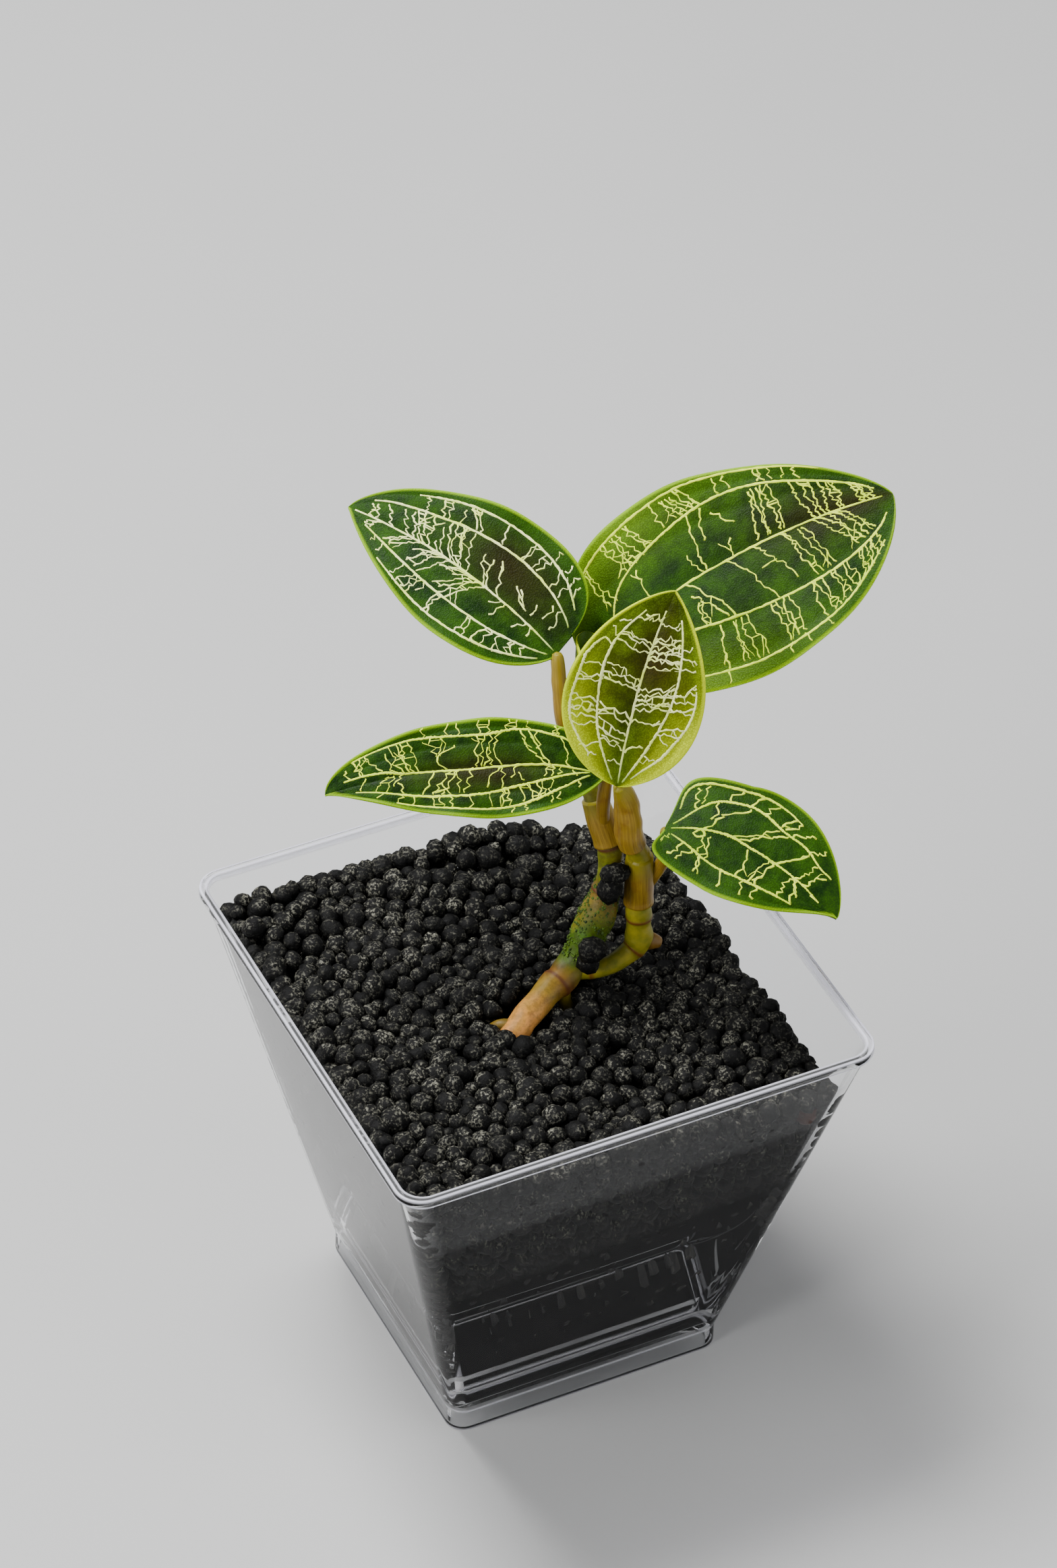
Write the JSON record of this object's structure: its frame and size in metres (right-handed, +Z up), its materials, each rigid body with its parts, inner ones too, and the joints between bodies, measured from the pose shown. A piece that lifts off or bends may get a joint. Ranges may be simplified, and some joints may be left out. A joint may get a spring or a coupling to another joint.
{
  "type": "potted jewel orchid",
  "caption": "Low creeping orchid with gold-veined leaves on two short shoots, rooted in black granules in a clear square tapered cup with a flat foot",
  "frame": {"origin": "on the surface that the cup stands on, under the middle of the whole plant's outline, leaves included", "axes": "+Z up, -Y the front; the cup's sides run along X and Y"},
  "size_m": [0.0988, 0.0851, 0.1281],
  "materials": {
    "cup": "clear polished",
    "granules": "rough baked soil",
    "stem": "waxy",
    "stalk": "waxy",
    "blade": "velvety with a soft shine",
    "front_blade": "velvety with a soft shine"
  },
  "bodies": {
    "root": {"cup": "cup", "granules": "granules", "stem": "stem", "stalk_upper_left": "stalk", "stalk_upper_right": "stalk", "stalk_front": "stalk", "stalk_lower_left": "stalk", "stalk_lower_right": "stalk", "leaf_upper_left": "blade", "leaf_upper_right": "blade", "leaf_front": "front_blade", "leaf_lower_left": "blade", "leaf_lower_right": "blade", "leaf_young": "front_blade"}
  },
  "joints": []
}
